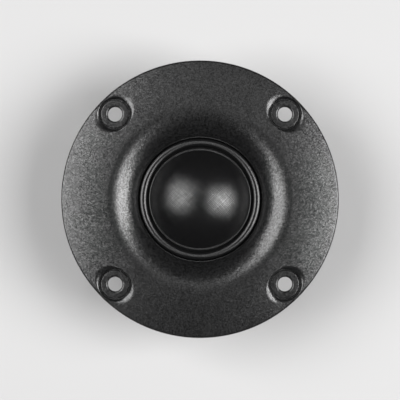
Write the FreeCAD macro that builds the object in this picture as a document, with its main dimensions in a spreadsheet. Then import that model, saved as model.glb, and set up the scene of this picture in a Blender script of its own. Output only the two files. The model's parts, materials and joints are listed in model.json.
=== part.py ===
import FreeCAD, Part
import math
import os
import re
import Sketcher
from FreeCAD import Placement, Rotation, Vector

# A flush-mount dome tweeter. The origin is the centre of the flange's rear face, which lies on
# the panel. +Z points out of the dome, and the terminals are on the -Y side.

# The driving dimensions, in millimetres and degrees. Names that end in a direction or in "face",
# "floor", "front" or "back" are heights along Z, and the others are radii or lengths.
SIZES = {
    # Faceplate
    "flange_radius": 36.0,
    "rim_front": 2.6,
    "rim_round": 0.5,
    "crown_front": 3.3,
    "mouth_radius": 24.0,
    "throat_radius": 16.0,
    "throat_front": -0.25,
    "clamp_face": -0.75,
    "land_inner": 19.2,
    "land_outer": 23.25,
    "land_back": -5.2,
    # Screw holes in the faceplate, each in a round pad at the bottom of an oval recess
    "screw_circle": 31.25,
    "screw_hole": 1.9,
    "screw_hole_flare": 0.25,
    "pad_radius": 3.85,
    "pad_floor": 1.6,
    "recess_floor": 2.4,
    "recess_floor_long": 4.2,
    "recess_floor_wide": 3.98,
    "recess_mouth_long": 7.3,
    "recess_mouth_wide": 4.42,
    "recess_mouth_front": 3.6,
    # Flange gasket
    "gasket_inner": 25.4,
    "gasket_outer": 27.2,
    "gasket_depth": 0.8,
    # Dome, surround and their ring
    "dome_radius": 12.85,
    "dome_height": 5.0,
    "dome_foot": 0.3,
    "silk": 0.2,
    "roll_inner": 13.9,
    "roll_outer": 15.85,
    "roll_height": 0.52,
    "surround_outer": 17.2,
    "ring_inner": 16.2,
    "ring_outer": 19.15,
    # Voice coil
    "former_inner": 12.7,
    "former_back": -8.6,
    "winding_outer": 13.15,
    "winding_front": -5.05,
    "winding_back": -7.85,
    # Motor
    "gap_outer": 13.55,
    "top_plate_outer": 23.2,
    "top_plate_back": -7.7,
    "magnet_inner": 14.6,
    "motor_outer": 19.5,
    "magnet_back": -11.7,
    "yoke_back": -14.7,
    "pole_radius": 12.25,
    "vent_radius": 4.5,
    "vent_flare": 1.5,
    "cap_thickness": 0.15,
    "cap_inner": 6.5,
    "cap_back": -9.2,
    "felt_outer": 11.5,
    "felt_front": -3.4,
    # Motor screws
    "motor_screw_circle": 21.4,
    "screw_shank": 1.0,
    "screw_clearance": 1.15,
    "screw_fit": 1.02,
    "motor_screw_head": 1.75,
    "motor_screw_head_back": -9.0,
    "motor_screw_tip": -0.9,
    "screw_head_round": 0.4,
    "drive_length": 1.1,
    "drive_width": 0.4,
    "drive_depth": 0.6,
    # Rear housing
    "housing_outer": 24.8,
    "housing_inner": 23.35,
    "housing_front": -0.8,
    "housing_back": -27.0,
    "housing_floor": -25.4,
    "housing_edge": 0.8,
    "pillar_circle": 16.0,
    "pillar_radius": 2.6,
    "housing_screw_head": 1.9,
    "housing_screw_bore": 2.1,
    "housing_screw_seat": -25.6,
    "housing_screw_head_back": -26.8,
    "housing_screw_tip": -12.5,
    "tapped_hole_front": -12.3,
    # Terminal recess, open to the rear and to -Y
    "recess_half_width": 10.0,
    "recess_wall": 1.5,
    "recess_inner": 15.0,
    "recess_roof": -18.4,
    "recess_roof_inside": -16.9,
    # Chamber wadding
    "wadding_radius": 12.8,
    "wadding_front": -17.6,
    # Terminals, their board, rivets and tags, at plus and minus the offset along X
    "terminal_offset": 4.8,
    "board_half_width": 9.6,
    "board_inner": 15.4,
    "board_outer": 22.2,
    "board_back": -19.6,
    "blade_thickness": 0.8,
    "blade_inner": 16.6,
    "blade_foot_outer": 22.1,
    "blade_tip": -26.6,
    "blade_point": 0.6,
    "blade_hole": 0.7,
    "blade_hole_height": -23.8,
    "positive_width": 4.8,
    "negative_width": 2.8,
    "rivet_place": 20.9,
    "rivet_shank": 1.0,
    "rivet_head": 1.7,
    "rivet_head_depth": 0.6,
    "tag_half_width": 1.0,
    "tag_thickness": 0.4,
    "tag_front": -4.2,
    "tag_inner": 14.6,
    "tag_outer": 21.9,
    "tag_slot_half_width": 1.2,
    # Internal wires
    "feed_wire": 0.55,
    "feed_wire_bow": 1.4,
    "feed_wire_lean": 0.35,
    "solder_height": 0.6,
    "solder_foot": 0.95,
    "lead_wire": 0.15,
    "lead_start_offset": 2.6,
    "lead_crest": -3.6,
    "lead_foot": 0.6,
}

SCREW_ANGLE = 45.0  # azimuth of the first faceplate screw and of the first motor screw
PILLAR_ANGLE = 90.0  # azimuth of the first housing pillar, opposite the terminal recess
SCREW_COUNT = 4
PILLAR_COUNT = 3
CUT_MARGIN = 2.0  # how far a cut runs past the material
LEAST_CUT = 1e-6  # the smallest volume that counts as cut away
WIRE_TOLERANCE = 0.02  # how far a wire's volume may be from section times length, as a share
CORNER_SHARE = 0.45  # how much of each run the arc at a wire's corner takes up
FEED_STATIONS = (0, 0.28, 0.5, 0.72, 1)  # where a feed wire's points lie along its drop

doc = FreeCAD.newDocument("Tweeter")
sheet = doc.addObject("Spreadsheet::Sheet", "Size")
for row, (alias, number) in enumerate(SIZES.items(), 1):
    sheet.set(f"A{row}", alias)
    sheet.set(f"B{row}", str(number))
    sheet.setAlias(f"B{row}", alias)
doc.recompute()

subparts = []


def bound(formula):
    """Write a formula of sheet names so that another object's property can use it."""
    return re.sub(r"\b[a-z][a-z_]+\b(?!\()", r"Size.\g<0>", formula)


def value(formula):
    """The number that a formula of sheet names gives."""
    return float(sheet.evalExpression(formula))


def cap_radius(half_width, height):
    """Formula for the radius of an arc that rises by a height over a half width."""
    return f"((({half_width})^2 + ({height})^2) / (2 * ({height})))"


# ---------------------------------------------------------------- sketches and features


def new_body(label, compound=False):
    body = doc.addObject("PartDesign::Body", label)
    body.Label = label
    body.AllowCompound = compound
    subparts.append(body)
    return body


def new_sketch(body, plane="XY_Plane", height=None, turn=0.0):
    """A sketch on one of the body's own planes, raised to a height or turned about Z."""
    origin = next(o for o in body.Origin.OriginFeatures if o.Role == plane)
    sketch = body.newObject("Sketcher::SketchObject", f"{body.Name}_sketch")
    sketch.AttachmentSupport = (origin, [""])
    sketch.MapMode = "FlatFace"
    up = Vector(0, 0, 1) if plane == "XY_Plane" else Vector(0, 1, 0)
    sketch.AttachmentOffset = Placement(Vector(), Rotation(up, turn))
    if height is not None:
        sketch.setExpression("AttachmentOffset.Base.z", bound(height))
    return sketch


def fix(sketch, element, point, x, y):
    """Hold a point of a sketch element at a place given by two formulas."""
    for kind, formula in (("DistanceX", x), ("DistanceY", y)):
        number = sketch.addConstraint(Sketcher.Constraint(kind, -1, 1, element, point, value(formula)))
        sketch.setExpression(f"Constraints[{number}]", bound(formula))


def outline(sketch, corners, arcs=None):
    """Close an outline through corners, each a pair of formulas.

    arcs gives a radius formula for the side that starts at a corner: it runs anticlockwise, or
    clockwise after a minus sign.
    """
    arcs = arcs or {}
    count = len(corners)
    points = [Vector(value(x), value(y), 0) for x, y in corners]
    ends = []
    for i, start in enumerate(points):
        stop = points[(i + 1) % count]
        if i in arcs:
            clockwise = arcs[i].startswith("-")
            radius = value(arcs[i].lstrip("-"))
            chord = stop - start
            left = Vector(-chord.y, chord.x, 0).normalize()
            rise = math.sqrt(max(radius**2 - (chord.Length / 2) ** 2, 0.0))
            centre = (start + stop) / 2 + left * (-rise if clockwise else rise)
            first, last = (stop, start) if clockwise else (start, stop)
            angles = [math.atan2(p.y - centre.y, p.x - centre.x) for p in (first, last)]
            circle = Part.Circle(centre, Vector(0, 0, 1), radius)
            element = sketch.addGeometry(Part.ArcOfCircle(circle, *angles))
            number = sketch.addConstraint(Sketcher.Constraint("Radius", element, radius))
            sketch.setExpression(f"Constraints[{number}]", bound(arcs[i].lstrip("-")))
            ends.append((element, 2, 1) if clockwise else (element, 1, 2))
        else:
            element = sketch.addGeometry(Part.LineSegment(start, stop))
            ends.append((element, 1, 2))
    for i, (element, start_point, stop_point) in enumerate(ends):
        following, following_start, _ = ends[(i + 1) % count]
        sketch.addConstraint(
            Sketcher.Constraint("Coincident", element, stop_point, following, following_start)
        )
        fix(sketch, element, start_point, *corners[i])


def rectangle(sketch, left, right, low, high):
    outline(sketch, [(left, low), (right, low), (right, high), (left, high)])


def circle(sketch, x, y, radius):
    element = sketch.addGeometry(
        Part.Circle(Vector(value(x), value(y), 0), Vector(0, 0, 1), value(radius))
    )
    number = sketch.addConstraint(Sketcher.Constraint("Radius", element, value(radius)))
    sketch.setExpression(f"Constraints[{number}]", bound(radius))
    fix(sketch, element, 3, x, y)


def oval(sketch, x, long_half, wide_half):
    """An ellipse centred on the sketch's X axis, with its long axis along Y."""
    centre = Vector(value(x), 0, 0)
    tip = centre + Vector(0, value(long_half), 0)
    side = centre - Vector(value(wide_half), 0, 0)
    element = sketch.addGeometry(Part.Ellipse(tip, side, centre))
    sketch.exposeInternalGeometry(element)
    fix(sketch, element, 3, x, "0")
    fix(sketch, element + 1, 1, x, long_half)
    number = sketch.addConstraint(Sketcher.Constraint("DistanceX", -1, 1, element + 2, 1, side.x))
    sketch.setExpression(f"Constraints[{number}]", bound(f"{x} - {wide_half}"))


def upright(sketch, x, low, high):
    """Draw a construction line up a sketch, and name it as an axis to turn about."""
    ends = [Vector(value(x), value(height), 0) for height in (low, high)]
    line = sketch.addGeometry(Part.LineSegment(*ends), True)
    fix(sketch, line, 1, x, low)
    fix(sketch, line, 2, x, high)
    return "Axis0"


def feature(body, kind, sketch, **settings):
    made = body.newObject(f"PartDesign::{kind}", f"{body.Name}_{kind.lower()}")
    made.Profile = sketch
    sketch.Visibility = False
    for name, setting in settings.items():
        setattr(made, name, setting)
    return made


def pad(body, sketch, length, **settings):
    made = feature(body, "Pad", sketch, **settings)
    made.setExpression("Length", bound(length))
    doc.recompute()
    return made


def pocket(body, sketch, length=None, **settings):
    """Cut a sketch out of the body, to a length or through everything on both sides."""
    before = body.Shape.Volume
    made = feature(body, "Pocket", sketch, **settings)
    if length is None:
        made.Type = "ThroughAll"
        made.SideType = "Symmetric"
    else:
        made.setExpression("Length", bound(length))
    doc.recompute()
    require_cut(body, before)
    return made


def revolve(body, sketch, kind="Revolution", axis="V_Axis"):
    made = feature(body, kind, sketch, ReferenceAxis=(sketch, [axis]), Angle=360)
    doc.recompute()
    return made


def repeat(body, features, count):
    """Repeat features evenly round Z."""
    pattern = body.newObject("PartDesign::PolarPattern", f"{body.Name}_pattern")
    pattern.Originals = features
    pattern.Axis = (next(o for o in body.Origin.OriginFeatures if o.Role == "Z_Axis"), [""])
    pattern.Angle = 360
    pattern.Occurrences = count
    body.Tip = pattern
    doc.recompute()
    return pattern


def mirror(body, features):
    """Repeat features on the other side of the YZ plane."""
    mirrored = body.newObject("PartDesign::Mirrored", f"{body.Name}_mirror")
    mirrored.Originals = features
    plane = next(o for o in body.Origin.OriginFeatures if o.Role == "YZ_Plane")
    mirrored.MirrorPlane = (plane, [""])
    body.Tip = mirrored
    doc.recompute()
    return mirrored


def require_cut(body, volume_before):
    if body.Shape.Volume > volume_before - LEAST_CUT:
        raise RuntimeError(f"{body.Label}: a cut removes nothing")


def turned(label, corners, arcs=None):
    """A body turned from an outline in (radius, height) about Z."""
    body = new_body(label)
    sketch = new_sketch(body, "XZ_Plane")
    outline(sketch, corners, arcs)
    revolve(body, sketch)
    return body


def ring(label, inner, outer, back, front):
    return turned(label, [(inner, back), (outer, back), (outer, front), (inner, front)])


def tag_slots(body, outer, inner, back, depth):
    """Two slots along Y, one over each tag, cut forwards from a height."""
    sketch = new_sketch(body, height=back)
    rectangle(
        sketch,
        "terminal_offset - tag_slot_half_width",
        "terminal_offset + tag_slot_half_width",
        f"-({outer})",
        f"-({inner})",
    )
    cut = pocket(body, sketch, depth, Reversed=True)
    mirror(body, [cut])


# ---------------------------------------------------------------- faceplate and its gasket


def make_faceplate():
    crown = cap_radius("flange_radius - rim_round - mouth_radius", "crown_front - rim_front")
    flare = cap_radius("mouth_radius - throat_radius", "crown_front - throat_front")
    body = turned(
        "faceplate",
        [
            ("throat_radius", "clamp_face"),
            ("land_inner", "clamp_face"),
            ("land_inner", "land_back"),
            ("land_outer", "land_back"),
            ("land_outer", "0"),
            ("flange_radius", "0"),
            ("flange_radius", "rim_front - rim_round"),
            ("flange_radius - rim_round", "rim_front"),
            ("mouth_radius", "crown_front"),
            ("throat_radius", "throat_front"),
        ],
        arcs={6: "rim_round", 7: crown, 8: flare},
    )
    before = body.Shape.Volume
    groove = new_sketch(body, "XZ_Plane")
    rectangle(groove, "gasket_inner", "gasket_outer", "0", "gasket_depth")
    revolve(body, groove, "Groove")
    require_cut(body, before)
    tag_slots(
        body,
        f"land_outer + {CUT_MARGIN}",
        f"land_inner - {CUT_MARGIN}",
        "land_back",
        "tag_front - land_back",
    )

    floor = new_sketch(body, height="recess_floor", turn=SCREW_ANGLE)
    oval(floor, "screw_circle", "recess_floor_long", "recess_floor_wide")
    mouth = new_sketch(body, height="recess_mouth_front", turn=SCREW_ANGLE)
    oval(mouth, "screw_circle", "recess_mouth_long", "recess_mouth_wide")
    recess = feature(body, "SubtractiveLoft", floor, Sections=[mouth], Ruled=True)
    doc.recompute()
    hole = new_sketch(body, "XZ_Plane", turn=SCREW_ANGLE)
    outline(
        hole,
        [
            ("screw_circle", "-screw_hole"),
            ("screw_circle + screw_hole", "-screw_hole"),
            ("screw_circle + screw_hole", "pad_floor - screw_hole_flare"),
            ("screw_circle + screw_hole + screw_hole_flare", "pad_floor"),
            ("screw_circle + pad_radius", "pad_floor"),
            ("screw_circle + pad_radius", "recess_mouth_front"),
            ("screw_circle", "recess_mouth_front"),
        ],
    )
    before = body.Shape.Volume
    bore = revolve(body, hole, "Groove", upright(hole, "screw_circle", "-screw_hole", "pad_floor"))
    require_cut(body, before)
    repeat(body, [recess, bore], SCREW_COUNT)

    pilot_sketch = new_sketch(body, height="land_back", turn=SCREW_ANGLE)
    circle(pilot_sketch, "motor_screw_circle", "0", "screw_fit")
    pilot = pocket(body, pilot_sketch, "motor_screw_tip - land_back + screw_fit", Reversed=True)
    repeat(body, [pilot], SCREW_COUNT)


def make_flange_gasket():
    ring("flange_gasket", "gasket_inner", "gasket_outer", "0", "gasket_depth")


# ---------------------------------------------------------------- diaphragm


def make_dome():
    """A thin cap that stands on a narrow flat foot, glued to the former's front edge."""
    inside_radius = "dome_radius - dome_foot"
    inside_height = "dome_height - silk"
    turned(
        "dome",
        [
            (inside_radius, "clamp_face"),
            ("dome_radius", "clamp_face"),
            ("0", "clamp_face + dome_height"),
            ("0", f"clamp_face + {inside_height}"),
        ],
        arcs={
            1: cap_radius("dome_radius", "dome_height"),
            3: "-" + cap_radius(inside_radius, inside_height),
        },
    )


def make_surround():
    """A half roll between a flat inner foot on the former and a flat outer edge on the ring."""
    outside = cap_radius("(roll_outer - roll_inner) / 2", "roll_height")
    inside = cap_radius("(roll_outer - roll_inner) / 2 - silk", "roll_height")
    turned(
        "surround",
        [
            ("dome_radius", "clamp_face - silk"),
            ("roll_inner + silk", "clamp_face - silk"),
            ("roll_outer - silk", "clamp_face - silk"),
            ("surround_outer", "clamp_face - silk"),
            ("surround_outer", "clamp_face"),
            ("roll_outer", "clamp_face"),
            ("roll_inner", "clamp_face"),
            ("dome_radius", "clamp_face"),
        ],
        arcs={1: "-" + inside, 5: outside},
    )


def make_diaphragm_ring():
    """The ring under the surround's outer edge, with a step that centres the edge."""
    body = turned(
        "diaphragm_ring",
        [
            ("ring_inner", "land_back"),
            ("ring_outer", "land_back"),
            ("ring_outer", "clamp_face"),
            ("surround_outer", "clamp_face"),
            ("surround_outer", "clamp_face - silk"),
            ("ring_inner", "clamp_face - silk"),
        ],
    )
    tag_slots(body, f"ring_outer + {CUT_MARGIN}", "tag_inner", "land_back", "tag_front - land_back")


def make_voice_coil():
    ring("voice_coil_former", "former_inner", "dome_radius", "former_back", "clamp_face")
    ring("voice_coil_winding", "dome_radius", "winding_outer", "winding_back", "winding_front")


def make_solder_tags():
    """Two flat strips along Y that carry the leads out through the ring and the faceplate."""
    body = new_body("solder_tags", compound=True)
    sketch = new_sketch(body, height="tag_front - tag_thickness")
    rectangle(
        sketch,
        "terminal_offset - tag_half_width",
        "terminal_offset + tag_half_width",
        "-tag_outer",
        "-tag_inner",
    )
    strip = pad(body, sketch, "tag_thickness")
    mirror(body, [strip])


# ---------------------------------------------------------------- motor


def make_top_plate():
    body = ring("top_plate", "gap_outer", "top_plate_outer", "top_plate_back", "land_back")
    hole_sketch = new_sketch(body, turn=SCREW_ANGLE)
    circle(hole_sketch, "motor_screw_circle", "0", "screw_clearance")
    hole = pocket(body, hole_sketch)
    repeat(body, [hole], SCREW_COUNT)
    tag_slots(
        body,
        f"top_plate_outer + {CUT_MARGIN}",
        "rivet_place - tag_slot_half_width",
        f"top_plate_back - {CUT_MARGIN}",
        f"land_back - top_plate_back + 2 * {CUT_MARGIN}",
    )


def make_magnet_ring():
    ring("magnet_ring", "magnet_inner", "motor_outer", "magnet_back", "top_plate_back")


def make_yoke():
    """The back plate and the pole in one turned piece, with a vent flared at both ends."""
    body = turned(
        "yoke",
        [
            ("vent_radius + vent_flare", "yoke_back"),
            ("motor_outer", "yoke_back"),
            ("motor_outer", "magnet_back"),
            ("pole_radius", "magnet_back"),
            ("pole_radius", "land_back"),
            ("vent_radius + vent_flare", "land_back"),
            ("vent_radius", "land_back - vent_flare"),
            ("vent_radius", "yoke_back + vent_flare"),
        ],
    )
    tapped_sketch = new_sketch(body, height="yoke_back", turn=PILLAR_ANGLE)
    circle(tapped_sketch, "pillar_circle", "0", "screw_fit")
    tapped = pocket(body, tapped_sketch, "tapped_hole_front - yoke_back", Reversed=True)
    repeat(body, [tapped], PILLAR_COUNT)


def make_copper_cap():
    """A thin drawn cap over the pole's side and the outer part of its front face."""
    turned(
        "copper_cap",
        [
            ("pole_radius", "cap_back"),
            ("pole_radius + cap_thickness", "cap_back"),
            ("pole_radius + cap_thickness", "land_back + cap_thickness"),
            ("cap_inner", "land_back + cap_thickness"),
            ("cap_inner", "land_back"),
            ("pole_radius", "land_back"),
        ],
    )


def make_pole_felt():
    ring("pole_felt", "cap_inner", "felt_outer", "land_back + cap_thickness", "felt_front")


def make_screws(label, place, angle, count, head, head_back, seat, tip):
    """Screws with a rounded head and a cross recess, on a circle, heads to the rear."""
    body = new_body(label, compound=True)
    profile = new_sketch(body, "XZ_Plane", turn=angle)
    outline(
        profile,
        [
            (place, head_back),
            (f"{place} + {head} - screw_head_round", head_back),
            (f"{place} + {head}", f"{head_back} + screw_head_round"),
            (f"{place} + {head}", seat),
            (f"{place} + screw_shank", seat),
            (f"{place} + screw_shank", f"{tip} - screw_shank"),
            (place, tip),
        ],
        arcs={1: "screw_head_round"},
    )
    shank = revolve(body, profile, axis=upright(profile, place, head_back, tip))
    cuts = []
    for length, width in (("drive_length", "drive_width"), ("drive_width", "drive_length")):
        cross = new_sketch(body, height=head_back, turn=angle)
        rectangle(cross, f"{place} - {length}", f"{place} + {length}", f"-{width}", width)
        cuts.append(pocket(body, cross, "drive_depth", Reversed=True))
    repeat(body, [shank] + cuts, count)


def make_motor_screws():
    make_screws(
        "motor_screws",
        "motor_screw_circle",
        SCREW_ANGLE,
        SCREW_COUNT,
        "motor_screw_head",
        "motor_screw_head_back",
        "top_plate_back",
        "motor_screw_tip",
    )


# ---------------------------------------------------------------- rear housing


def make_rear_housing():
    """A cup whose -Y side steps inwards round the terminals, with three pillars for screws."""
    body = turned(
        "rear_housing",
        [
            ("0", "housing_back"),
            ("housing_outer - housing_edge", "housing_back"),
            ("housing_outer", "housing_back + housing_edge"),
            ("housing_outer", "housing_front"),
            ("housing_inner", "housing_front"),
            ("housing_inner", "housing_floor"),
            ("0", "housing_floor"),
        ],
        arcs={1: "housing_edge"},
    )
    side = "recess_half_width + recess_wall"
    wall_middle = "(housing_outer + housing_inner) / 2"
    corner = f"sqrt(({wall_middle})^2 - ({side})^2)"
    block = new_sketch(body, height="housing_floor")
    outline(
        block,
        [
            (side, "recess_wall - recess_inner"),
            (f"-({side})", "recess_wall - recess_inner"),
            (f"-({side})", f"-{corner}"),
            (side, f"-{corner}"),
        ],
        arcs={2: wall_middle},
    )
    pad(body, block, "recess_roof_inside - housing_floor")
    notch = new_sketch(body, height="recess_roof")
    rectangle(
        notch,
        "-recess_half_width",
        "recess_half_width",
        f"-(housing_outer + {CUT_MARGIN})",
        "-recess_inner",
    )
    pocket(body, notch, f"recess_roof - housing_back + {CUT_MARGIN}")
    rivet_holes = new_sketch(body, height="recess_roof_inside")
    for sign in ("", "-"):
        circle(rivet_holes, f"{sign}terminal_offset", "-rivet_place", "rivet_shank")
    pocket(body, rivet_holes, "recess_roof_inside - recess_roof")

    pillar_sketch = new_sketch(body, height="housing_floor", turn=PILLAR_ANGLE)
    circle(pillar_sketch, "pillar_circle", "0", "pillar_radius")
    pillar = pad(body, pillar_sketch, "yoke_back - housing_floor")
    bore_sketch = new_sketch(body, turn=PILLAR_ANGLE)
    circle(bore_sketch, "pillar_circle", "0", "screw_clearance")
    bore = pocket(body, bore_sketch)
    seat_sketch = new_sketch(body, height="housing_screw_seat", turn=PILLAR_ANGLE)
    circle(seat_sketch, "pillar_circle", "0", "housing_screw_bore")
    seat = pocket(body, seat_sketch, "housing_screw_seat - housing_back")
    repeat(body, [pillar, bore, seat], PILLAR_COUNT)


def make_housing_seal():
    ring("housing_seal", "housing_inner", "housing_outer", "housing_front", "0")


def make_chamber_wadding():
    body = new_body("chamber_wadding")
    sketch = new_sketch(body, height="housing_floor")
    circle(sketch, "0", "0", "wadding_radius")
    pad(body, sketch, "wadding_front - housing_floor")


def make_housing_screws():
    make_screws(
        "housing_screws",
        "pillar_circle",
        PILLAR_ANGLE,
        PILLAR_COUNT,
        "housing_screw_head",
        "housing_screw_head_back",
        "housing_screw_seat",
        "housing_screw_tip",
    )


# ---------------------------------------------------------------- terminals


def make_terminal_board():
    body = new_body("terminal_board")
    sketch = new_sketch(body, height="board_back")
    rectangle(sketch, "-board_half_width", "board_half_width", "-board_outer", "-board_inner")
    for sign in ("", "-"):
        circle(sketch, f"{sign}terminal_offset", "-rivet_place", "rivet_shank")
    pad(body, sketch, "recess_roof - board_back")


def make_terminal(label, sign, width):
    """An L: a foot flat on the board, and a pointed blade with a hole, towards the rear."""
    body = new_body(label)
    side = new_sketch(body, "YZ_Plane", height=f"{sign}terminal_offset")
    outline(
        side,
        [
            ("-blade_foot_outer", "board_back - blade_thickness"),
            ("-(blade_inner + blade_thickness)", "board_back - blade_thickness"),
            ("-(blade_inner + blade_thickness)", "blade_tip"),
            ("-blade_inner", "blade_tip"),
            ("-blade_inner", "board_back - blade_thickness"),
            ("-(blade_inner + blade_thickness)", "board_back"),
            ("-blade_foot_outer", "board_back"),
        ],
        arcs={4: "blade_thickness"},
    )
    pad(body, side, width, Midplane=True)
    front = new_sketch(body, "XZ_Plane")
    middle = f"{sign}terminal_offset"
    circle(front, middle, "blade_hole_height", "blade_hole")
    for edge in ("-", ""):
        corner = f"{middle} + {edge}{width} / 2"
        outline(
            front,
            [
                (corner, "blade_tip"),
                (f"{middle} + {edge}({width} / 2 - blade_point)", "blade_tip"),
                (corner, "blade_tip + blade_point"),
            ],
        )
    pocket(body, front)
    foot = new_sketch(body, height="board_back")
    circle(foot, middle, "-rivet_place", "rivet_shank")
    pocket(body, foot, "blade_thickness")


def make_terminal_rivets():
    """Two rivets through terminal foot, board and housing, with a flat head at each end."""
    body = new_body("terminal_rivets", compound=True)
    levels = [
        ("rivet_head", "board_back - blade_thickness - rivet_head_depth", "rivet_head_depth"),
        (
            "rivet_shank",
            "board_back - blade_thickness",
            "recess_roof_inside - board_back + blade_thickness",
        ),
        ("rivet_head", "recess_roof_inside", "rivet_head_depth"),
    ]
    stages = []
    for radius, back, length in levels:
        sketch = new_sketch(body, height=back)
        circle(sketch, "terminal_offset", "-rivet_place", radius)
        stages.append(pad(body, sketch, length))
    mirror(body, stages)


# ---------------------------------------------------------------- internal wires


def route(points):
    """Straight runs through points, joined by tangent arcs, as one wire."""
    edges = []
    here = points[0]
    for before, corner, after in zip(points, points[1:], points[2:]):
        inward = corner - before
        outward = after - corner
        reach = CORNER_SHARE * min(inward.Length, outward.Length)
        turn = inward.getAngle(outward)
        radius = reach / math.tan(turn / 2)
        inward.normalize()
        outward.normalize()
        start = corner - inward * reach
        stop = corner + outward * reach
        towards = (outward - inward).normalize()
        middle = corner + towards * (radius / math.cos(turn / 2) - radius)
        edges.append(Part.LineSegment(here, start).toShape())
        edges.append(Part.Arc(start, middle, stop).toShape())
        here = stop
        print(f"  bend radius {radius:.2f}")
    edges.append(Part.LineSegment(here, points[-1]).toShape())
    return Part.Wire(edges)


def make_wire(label, points, radius):
    """A round wire along a route, as a solid of its own."""
    print(label)
    path = route(points)
    direction = points[1] - points[0]
    section = Part.Wire([Part.Circle(points[0], direction, radius).toShape()])
    piece = doc.addObject("Part::Feature", label)
    piece.Label = label
    piece.Shape = path.makePipeShell([section], True, False)
    piece.Placement = Placement()
    expected = math.pi * radius**2 * path.Length
    print(f"  volume {piece.Shape.Volume:.4f}, section times length {expected:.4f}")
    if abs(piece.Shape.Volume / expected - 1) > WIRE_TOLERANCE:
        raise RuntimeError(f"{label}: the volume isn't section times length")
    subparts.append(piece)


def make_feed_wires():
    """From under each tag, down past the motor with a bow, on to the rivet's inner head."""
    top = value("tag_front - tag_thickness")
    bottom = value("recess_roof_inside + rivet_head_depth")
    place = value("rivet_place")
    bow = value("feed_wire_bow")
    lean = value("feed_wire_lean")
    for label, sign in (("feed_wire_positive", 1), ("feed_wire_negative", -1)):
        offset = sign * value("terminal_offset")
        straight = Vector(offset, -place, 0)
        bowed = Vector(offset + sign * bow, -place + lean, 0)
        heights = [top + (bottom - top) * share for share in FEED_STATIONS]
        stations = (straight, straight, bowed, straight, straight)
        points = [Vector(p.x, p.y, height) for p, height in zip(stations, heights)]
        make_wire(label, points, value("feed_wire"))


def make_lead_wires():
    """Fine flexible leads from the winding's front edge, in a small loop, to the tags."""
    radius = value("lead_wire")
    start_offset = value("lead_start_offset")
    former = value("dome_radius") + radius
    crest = value("lead_crest")
    tag = value("tag_front") + radius
    offset = value("terminal_offset")
    inner = value("tag_inner")
    foot = value("lead_foot")
    for label, sign in (("lead_wire_positive", 1), ("lead_wire_negative", -1)):
        start = Vector(sign * start_offset, -math.sqrt(former**2 - start_offset**2), 0)
        points = [
            Vector(start.x, start.y, value("winding_front")),
            Vector(start.x, start.y, crest),
            Vector(sign * (start_offset + offset) / 2, (start.y - inner) / 2, crest),
            Vector(sign * offset, -inner - radius, tag),
            Vector(sign * offset, -inner - radius - foot, tag),
        ]
        make_wire(label, points, radius)


def make_solder_joints():
    """A cone of solder round each end of each feed wire."""
    body = new_body("solder_joints", compound=True)
    inner_head = "recess_roof_inside + rivet_head_depth"
    tag_back = "tag_front - tag_thickness"
    cones = []
    for foot, direction in ((inner_head, "+"), (tag_back, "-")):
        top = f"{foot} {direction} solder_height"
        profile = new_sketch(body, "YZ_Plane", height="terminal_offset")
        outline(
            profile,
            [
                ("-rivet_place + feed_wire", foot),
                ("-rivet_place + solder_foot", foot),
                ("-rivet_place + feed_wire", top),
            ],
        )
        cones.append(revolve(body, profile, axis=upright(profile, "-rivet_place", foot, top)))
    mirror(body, cones)


# ---------------------------------------------------------------- the whole tweeter

make_faceplate()
make_flange_gasket()
make_dome()
make_surround()
make_diaphragm_ring()
make_voice_coil()
make_solder_tags()
make_top_plate()
make_magnet_ring()
make_yoke()
make_copper_cap()
make_pole_felt()
make_motor_screws()
make_rear_housing()
make_housing_seal()
make_chamber_wadding()
make_housing_screws()
make_terminal_board()
make_terminal("terminal_positive", "", "positive_width")
make_terminal("terminal_negative", "-", "negative_width")
make_terminal_rivets()
make_feed_wires()
make_lead_wires()
make_solder_joints()

doc.recompute()
for item in doc.Objects:
    if {"Invalid", "Error"} & set(item.State):
        raise RuntimeError(f"{item.Name} is {item.State}: {item.getStatusString()}")
for item in subparts:
    if item.Shape.isNull() or not item.Shape.isValid():
        raise RuntimeError(f"{item.Label} has no valid shape")
    print(f"{item.Label}: {len(item.Shape.Solids)} solids, {item.Shape.Volume:.2f} mm3")

os.makedirs("parts", exist_ok=True)
for item in subparts:
    item.Shape.exportStep(os.path.join("parts", f"{item.Label}.step"))
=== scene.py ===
import json
import math
import random

import bmesh
import bpy
import numpy as np
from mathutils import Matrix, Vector
from mathutils.geometry import delaunay_2d_cdt


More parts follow.
